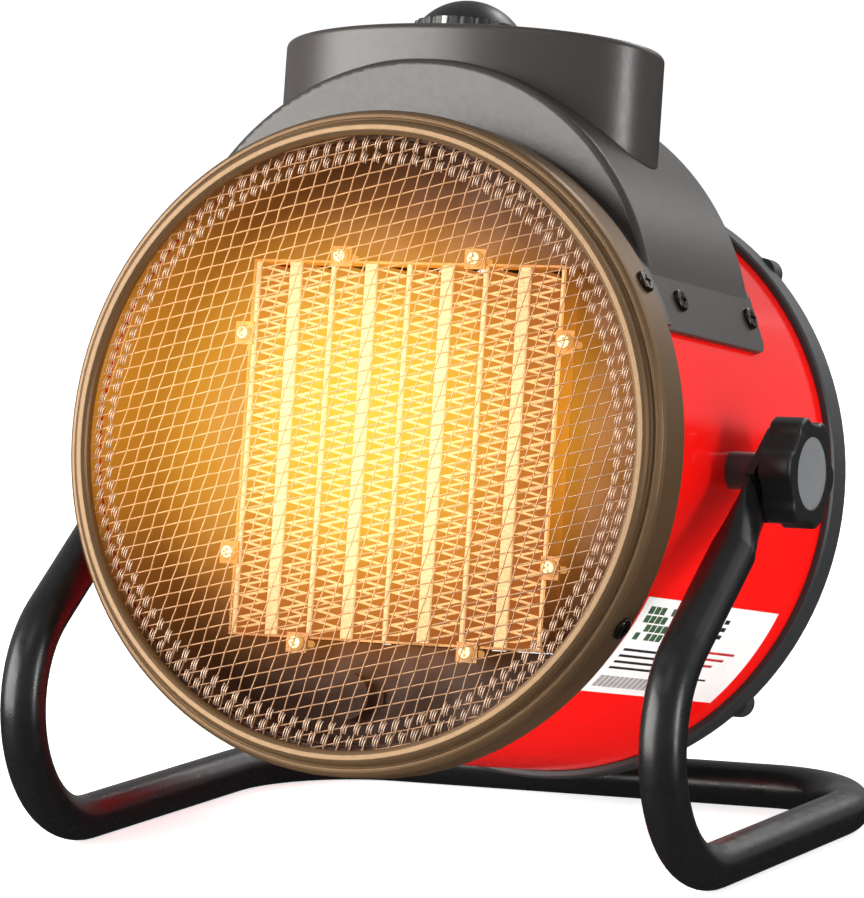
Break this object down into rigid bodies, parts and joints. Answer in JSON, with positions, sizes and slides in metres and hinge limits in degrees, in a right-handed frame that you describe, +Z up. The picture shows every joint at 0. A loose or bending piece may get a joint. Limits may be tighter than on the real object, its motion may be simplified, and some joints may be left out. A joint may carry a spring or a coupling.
{
  "type": "ceramic space heater",
  "caption": "Round ceramic space heater: a steel drum with a wire-mesh front, hot element, fan and control tower, tilting in a bent tube stand with star knobs.",
  "frame": {"origin": "on the floor under the middle of the heater's bounding box", "axes": "+Z up, the hot face looks along -Y (tipped up at rest), +X to the right as seen from the front; x = 0 is the plane of symmetry"},
  "size_m": [0.274, 0.2168, 0.2961],
  "materials": {
    "stand_black": "satin black powder coat",
    "drum_red": "gloss red enamel",
    "bezel_bronze": "satin, warm brown-bronze",
    "housing_charcoal": "satin charcoal, moulded",
    "panel_black": "fine texture",
    "ring_black": "fine texture",
    "steel_wire": "bright wire, warm lit",
    "liner_steel": "plain sheet, heat tinted",
    "heater_aluminium": "glowing when hot",
    "contact_brass": "plain",
    "zinc_steel": "zinc plated",
    "motor_paint": "plain grey",
    "fan_plastic": "moulded",
    "label_white": "printed film",
    "dial_print": "printed film",
    "switch_plastic": "plain",
    "gland_black": "plain",
    "knob_black": "satin, moulded",
    "knob_grey": "satin",
    "pointer_white": "plain"
  },
  "bodies": {
    "stand": {"stand_tube": "stand_black"},
    "fan": {"motor_rotor": "zinc_steel", "motor_shaft": "zinc_steel", "fan_impeller": "fan_plastic", "impeller_nut": "zinc_steel"},
    "selector": {"selector_knob": "knob_black", "selector_pointer": "pointer_white", "selector_shaft": "zinc_steel"},
    "knob_right": {"knob_right_grip": "knob_black", "knob_right_cap": "knob_grey", "knob_right_stud": "zinc_steel", "knob_right_washer": "knob_black"},
    "knob_left": {"knob_left_grip": "knob_black", "knob_left_cap": "knob_grey", "knob_left_stud": "zinc_steel", "knob_left_washer": "knob_black"},
    "heater": {"drum_shell": "drum_red", "front_bezel": "bezel_bronze", "top_saddle": "housing_charcoal", "control_tower": "housing_charcoal", "control_panel": "panel_black", "rear_ring": "ring_black", "rear_guard": "ring_black", "front_mesh": "steel_wire", "mesh_rim": "steel_wire", "heat_liner": "liner_steel", "air_baffle": "liner_steel", "core_frame": "liner_steel", "fan_shroud": "liner_steel", "motor_bracket": "liner_steel", "thermal_cutout": "liner_steel", "ceramic_bars": "heater_aluminium", "core_plates": "heater_aluminium", "core_fins": "heater_aluminium", "core_terminals": "contact_brass", "motor_bushes": "contact_brass", "bezel_screws": "zinc_steel", "saddle_screws": "zinc_steel", "rear_screws": "zinc_steel", "core_screws": "zinc_steel", "motor_screws": "zinc_steel", "switch_nut": "zinc_steel", "pivot_washers": "zinc_steel", "captive_nuts": "zinc_steel", "motor_case": "motor_paint", "rating_label": "label_white", "dial_plate": "dial_print", "rotary_switch": "switch_plastic", "terminal_block": "switch_plastic", "cable_gland": "gland_black", "gland_nut": "gland_black", "pivot_spacers": "knob_black"}
  },
  "joints": [
    {"name": "tilt", "type": "hinge", "parent": "stand", "child": "heater", "pos_m": [0, -0.00767, 0.13557], "axis": [-1, 0, 0], "range_deg": [-25, 7]},
    {"name": "knob_right_turn", "type": "hinge", "parent": "heater", "child": "knob_right", "pos_m": [0.131, -0.00767, 0.13557], "axis": [1, 0, 0], "range_deg": [0, 360]},
    {"name": "knob_left_turn", "type": "hinge", "parent": "heater", "child": "knob_left", "pos_m": [-0.131, -0.00767, 0.13557], "axis": [-1, 0, 0], "range_deg": [0, 360]},
    {"name": "selector_turn", "type": "hinge", "parent": "heater", "child": "selector", "pos_m": [0, 0.00847, 0.27959], "axis": [0, 0.2815, 0.9596], "range_deg": [-180, 0]},
    {"name": "fan_spin", "type": "hinge", "parent": "heater", "child": "fan", "pos_m": [0, 0.06414, 0.12245], "axis": [0, 0.9837, -0.1797], "continuous": true}
  ]
}
